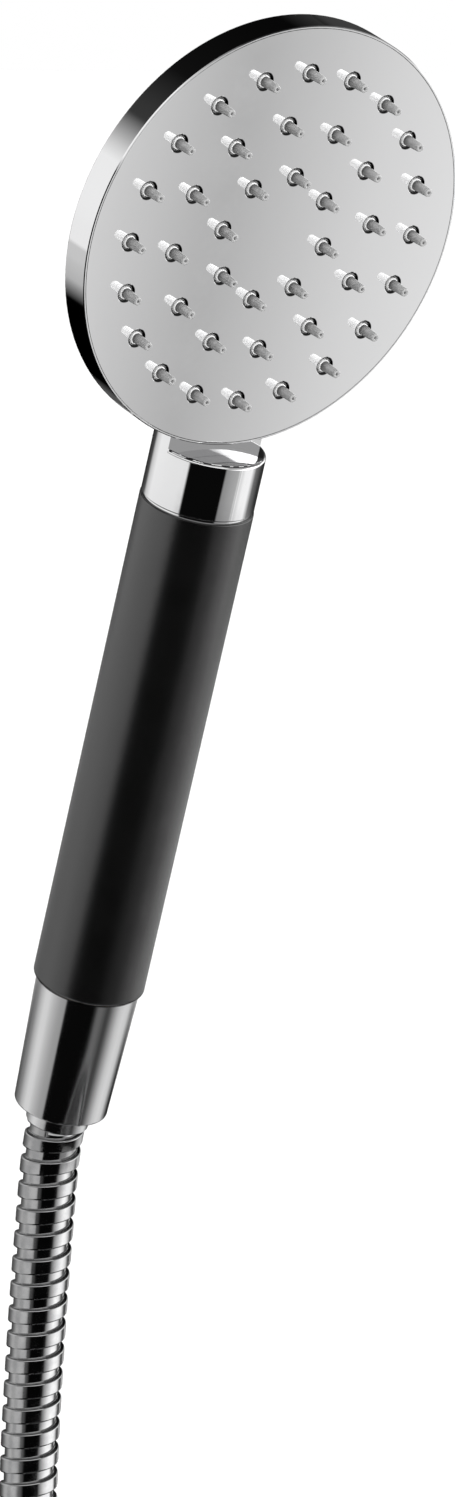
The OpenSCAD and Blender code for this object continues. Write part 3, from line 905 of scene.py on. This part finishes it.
def clear_silicone():
    """Clear-grey silicone with painted light and shade; a band is the heights in millimetres between which its
    colour comes in: painted shade, a painted highlight or the tip's grey.
    """
    material, tree, shader = new_material("nozzle_silicone", (0.5, 0.5, 0.5), roughness=0.14)
    drift = place(tree, drift_group, Colour=(0.56, 0.56, 0.56, 1), Other=(0.44, 0.44, 0.44, 1), Scale=700.0)
    # Painted shade: the colour darkens where one looks along the wall.
    wall = tree.nodes.new("ShaderNodeLayerWeight")
    wall.inputs["Blend"].default_value = 0.45
    through = mix_colours(tree, wall.outputs["Facing"], drift.outputs["Colour"], (0.16, 0.16, 0.16))
    # Painted shade at the root, a painted highlight on the collar, and the tip's darker grey.
    for start, end, colour in NOZZLE_PAINTED_LIGHT_AND_TIP_BANDS:
        level = place(
            tree, height_group, Direction=tuple(spray), From=face_height + start * MM,
            To=face_height + end * MM)
        through = mix_colours(tree, level.outputs["Mask"], through, colour)
    # Painted reflection: in the plate's mirror the cone takes the painted light colour and a painted glow of
    # emission.
    in_mirror = tree.nodes.new("ShaderNodeLightPath").outputs["Is Glossy Ray"]
    tree.links.new(mix_colours(tree, in_mirror, through, PAINTED_LIGHT), shader.inputs["Base Color"])
    painted_mirror_glow = mix_colours(tree, in_mirror, (0, 0, 0), (0.3, 0.3, 0.3))
    tree.links.new(painted_mirror_glow, shader.inputs["Emission Color"])
    shader.inputs["Emission Strength"].default_value = 1.0
    haze = place(tree, haze_group, Scale=400.0, Clear=0.10, Hazy=0.20)
    tree.links.new(haze.outputs["Roughness"], shader.inputs["Roughness"])
    grain = place(tree, grain_group, Scale=2600.0, Clumps=0.5)
    bump(tree, shader, grain.outputs["Height"], 0.4, 0.01 * MM)
    shader.inputs["IOR"].default_value = 1.6
    return material


nozzle_silicone = clear_silicone()

# %% [markdown]
# ### Turned brass and steel
# What is hidden inside was turned on a lathe and left as it was, so it carries fine rings round its axis,
# and old brass drifts between a yellow and a browner tone. Nearly all of it was turned round the handle's
# axis. The six small screws were not, but at their size the same direction does for them too.

# %% Turned metal
def turned_metal(name, colour, other, axis, roughness, rings=5000.0):
    """Bare turned metal with rings across the given axis."""
    material, tree, shader = new_material(name, colour, metallic=1.0, roughness=roughness)
    drift = place(tree, drift_group, Colour=(*colour, 1), Other=(*other, 1), Scale=90.0)
    tree.links.new(drift.outputs["Colour"], shader.inputs["Base Color"])
    turning = place(tree, turned_group, Axis=tuple(axis), Rings_per_metre=rings)
    ring_haze = spread(tree, turning.outputs["Shade"], 0.0, 1.0, roughness - 0.06, roughness + 0.08)
    tree.links.new(ring_haze, shader.inputs["Roughness"])
    bump(tree, shader, turning.outputs["Height"], 0.3, 0.02 * MM)
    return material


BRASS, OLD_BRASS = (0.75, 0.58, 0.28), (0.62, 0.45, 0.20)
brass = turned_metal("turned_brass", BRASS, OLD_BRASS, handle_up, 0.22)
steel = turned_metal("screw_steel", (0.62, 0.63, 0.64), (0.55, 0.56, 0.57), handle_up, 0.28)

# %% [markdown]
# ### Which piece takes which finish
# The record gives every CAD node a slot, so the finishes are handed out by slot. The nuts and the other
# hose fittings are chrome too, but plated less finely than the handset, so they have finishes of their
# own.

# %% Give every piece its finish
FINISHES = {
    "chrome": bright_chrome, "face_chrome": face_chrome, "silicone": nozzle_silicone,
    "grey_plastic": grey_plastic, "seal_rubber": seal_black, "steel": steel, "brass": brass,
    "grip_rubber": soft_touch, "regulator_plastic": blue_plastic, "hose_steel": steel_strip,
    "tie_plastic": strap_black}
OWN_FINISHES = {
    "cone_nut": satin_chrome, "hose_collar": fitting_chrome, "far_collar": fitting_chrome,
    "hose_ferrule": fitting_chrome, "far_ferrule": fitting_chrome, "wall_nut": satin_chrome}
slots = {part["node"]: part["material_slot"] for part in record["subparts"]}
for node_name, node in frame["nodes"].items():
    finish = OWN_FINISHES.get(node_name, FINISHES[slots[node_name]])
    node.data.materials.clear()
    node.data.materials.append(finish)
for piece, finish in [(hose, steel_strip), (soft_mat, nozzle_silicone)] + [(s, strap_black) for s in straps]:
    piece.data.materials.append(finish)
print("finishes given to", len(frame["nodes"]), "nodes")

# %% [markdown]
# ## The studio
# Chrome shows the room, so the room is what gets designed. The sky is a tent of panels laid out round the
# handle's axis, so that every cylinder along it gets straight, even stripes. The panels hang in five
# rows, one above another, because the nut, the grip, the neck, the disc and the shelf each look at
# another height. Flat cards and area lights could do the same, but they would be noisier.

# %% The tent's directions
front = (toward_camera - handle_up * toward_camera.dot(handle_up)).normalized()
right = handle_up.cross(front)
print("the tent's front", tuple(round(x, 3) for x in front))

# %% [markdown]
# ### The rows of panels
# A row is a list of stops: an angle round the handle, in degrees from the front and growing to the right,
# and how bright the tent is there. The four lower rows have a light side to the left, a dark gap where
# the camera stands and a light side to the right. What differs is how wide the gap is and how the light
# starts: in fine steps for the neck, slowly for the disc, far round to the side for the grip, which
# should stay black in its middle. The top row is what the milled shelf looks up to, so it is light in
# front and dim to the right.

# %% Stops of the five rows
LOW_ROW = [
    (-180, 0.08), (-148, 0.105), (-124, 0.27), (-108, 0.56), (-94, 0.78), (-82, 0.78), (-70, 0.60),
    (-60, 0.49), (-50, 0.40), (-38, 0.37), (-35, 0.003), (26, 0.003), (31, 0.03), (38, 0.15), (44, 0.17),
    (52, 0.12), (60, 0.06), (66, 0.09), (72, 0.20), (82, 0.43), (94, 0.71), (108, 0.82), (124, 0.71),
    (134, 0.35), (148, 0.03), (180, 0.02)]
GRIP_ROW = [
    (-180, 0.20), (-150, 0.50), (-130, 0.58), (-60, 0.66), (-45, 0.60), (-35, 0.003), (92, 0.003),
    (101, 0.10), (112, 0.55), (130, 0.95), (150, 0.75), (180, 0.3)]
MIDDLE_ROW = [
    (-180, 0.03), (-150, 0.04), (-138, 0.08), (-128, 0.60), (-110, 0.90), (-60, 0.85), (-32, 0.85),
    (-28, 0.003), (44, 0.003), (47, 0.30), (60, 0.38), (70, 0.43), (75, 0.46), (77.5, 0.80), (78.1, 0.60),
    (78.7, 0.50), (79.3, 0.56), (79.9, 0.68), (80.5, 0.88), (81.2, 0.95), (84, 0.78), (92, 1.0),
    (110, 1.0), (116, 0.6), (124, 0.16), (148, 0.035), (180, 0.03)]
HIGH_ROW = [
    (-180, 0.02), (-112, 0.4), (-90, 0.5), (-85, 0.25), (-60, 0.17), (-42, 0.165), (-25, 0.10),
    (-19, 0.05), (-13, 0.0015), (33, 0.0015), (42, 0.01), (48, 0.20), (53, 0.32), (62, 0.54), (72, 0.76),
    (84, 1.0), (108, 1.0), (130, 0.8), (152, 0.5), (165, 0.05), (180, 0.02)]
TOP_ROW = [
    (-180, 0.02), (-125, 0.1), (-110, 0.5), (-90, 0.5), (-50, 0.4), (-40, 0.5), (45, 0.5), (52, 0.18),
    (120, 0.18), (180, 0.01)]
UPPER_GAIN = 2.0
UPPER_ROWS = [
    (GRIP_ROW, 1.0, -0.455, -0.435), (MIDDLE_ROW, 1.0, -0.375, -0.355),
    (HIGH_ROW, UPPER_GAIN, -0.27, -0.20), (TOP_ROW, UPPER_GAIN, 0.16, 0.26)]
HEIGHTS = [(-1.0, 0.75), (-0.7, 0.95), (-0.4, 1.0), (0.42, 1.0), (0.55, 0.45), (0.66, 0.04), (1.0, 0.02)]
print("one low row of panels and", len(UPPER_ROWS), "above it")

# %% [markdown]
# ### From a direction to a brightness
# The tent needs two nodes again and again: a ramp that turns an angle or a height into a grey level, and
# a dot product that says how far a direction of view leans towards a given one.

# %% Helpers for the tent
def ramp(tree, value, stops, low, high):
    """A Color Ramp over low..high with grey stops."""
    node = tree.nodes.new("ShaderNodeValToRGB")
    while len(node.color_ramp.elements) < len(stops):
        node.color_ramp.elements.new(0.5)
    for element, (position, level) in zip(node.color_ramp.elements, stops):
        element.position = (position - low) / (high - low)
        element.color = (level, level, level, 1)
    tree.links.new(spread(tree, value, low, high), node.inputs["Fac"])
    return node.outputs["Color"]


def dot_with(tree, vector, direction):
    """How far a socket's vector leans towards a fixed direction."""
    node = tree.nodes.new("ShaderNodeVectorMath")
    node.operation = "DOT_PRODUCT"
    node.inputs[1].default_value = tuple(direction)
    tree.links.new(vector, node.inputs[0])
    return node.outputs["Value"]


# %% [markdown]
# ### Hang the rows
# The lowest row is there first. Each other row comes with a gain and with the two heights between which
# it takes over from the row under it. Overhead the tent fades to black. One dark card low down behind the
# handset keeps the underside of the disc's rim dark. The backdrop is plain white: it is what the camera
# itself sees, and the chrome sees the tent.

# %% The tent
FULL_TURN = (-180, 180)
CARD_BACK = (-0.15, -0.25)
CARD_LOW = (-0.53, -0.60)

world = bpy.data.worlds.new("studio_tent")
world.use_nodes = True
bpy.context.scene.world = world
sky = world.node_tree
way = sky.nodes.new("ShaderNodeTexCoord").outputs["Generated"]
turn = maths(sky, "ARCTAN2", dot_with(sky, way, right), dot_with(sky, way, front))
around = maths(sky, "MULTIPLY", turn, 180 / math.pi)
above = dot_with(sky, way, handle_up)
tent = ramp(sky, around, LOW_ROW, *FULL_TURN)
for row, gain, lower, upper in UPPER_ROWS:
    panel = maths(sky, "MULTIPLY", ramp(sky, around, row, *FULL_TURN), gain)
    tent = spread(sky, above, lower, upper, tent, panel)
heights = ramp(sky, dot_with(sky, way, (0, 0, 1)), HEIGHTS, -1, 1)
behind = spread(sky, dot_with(sky, way, front), *CARD_BACK)
low = spread(sky, above, *CARD_LOW)
card = maths(sky, "SUBTRACT", 1.0, maths(sky, "MULTIPLY", behind, low))
tent = maths(sky, "MULTIPLY", maths(sky, "MULTIPLY", tent, heights), card)
seen = sky.nodes.new("ShaderNodeLightPath").outputs["Is Camera Ray"]
light = maths(sky, "MAXIMUM", tent, seen)
sky.links.new(light, sky.nodes["Background"].inputs["Strength"])
sky.nodes["Background"].inputs["Color"].default_value = (1, 1, 1, 1)
print("the tent's sky has", len(sky.nodes), "nodes")

# %% [markdown]
# ## Floor
# The coil lies on a plain pale floor, wide enough to have no edge in sight. It is kept out of mirror
# reflections, because the tent already says what the chrome sees.

# %% The floor
FLOOR_R = 30.0
FLOOR_SIDES = 60
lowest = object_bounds()[0].z
mesh = bpy.data.meshes.new("floor")
angles = [2 * math.pi * i / FLOOR_SIDES for i in range(FLOOR_SIDES)]
rim = [(FLOOR_R * math.cos(a), FLOOR_R * math.sin(a), lowest) for a in angles]
mesh.from_pydata(rim, [], [list(range(FLOOR_SIDES))])
floor = bpy.data.objects.new("floor", mesh)
bpy.context.scene.collection.objects.link(floor)
pale, _, _ = new_material("pale_floor", (0.93, 0.93, 0.93), roughness=0.9)
mesh.materials.append(pale)
floor.visible_glossy = False
print("floor at", round(lowest, 4))

# %% [markdown]
# ## The soft light
# One very wide light from above, the front and the right whitens the floor, gives the soft contact shadow
# and lights the nozzles. A sun lamp with a large angle does it without hot spots. Mirrors don't show it
# either.

# %% The light and the view transform
SOFT_ANGLE = 70
sun_data = bpy.data.lights.new("top_light", "SUN")
sun_data.energy = 4.4
sun_data.angle = math.radians(SOFT_ANGLE)
sun = bpy.data.objects.new("top_light", sun_data)
bpy.context.scene.collection.objects.link(sun)
from_light = Vector((0.53, -0.40, 0.75))
sun.rotation_euler = from_light.to_track_quat("Z", "Y").to_euler()
sun.visible_glossy = False
bpy.context.scene.view_settings.view_transform = "Standard"
print("soft light of", sun_data.energy, "over", SOFT_ANGLE, "degrees")
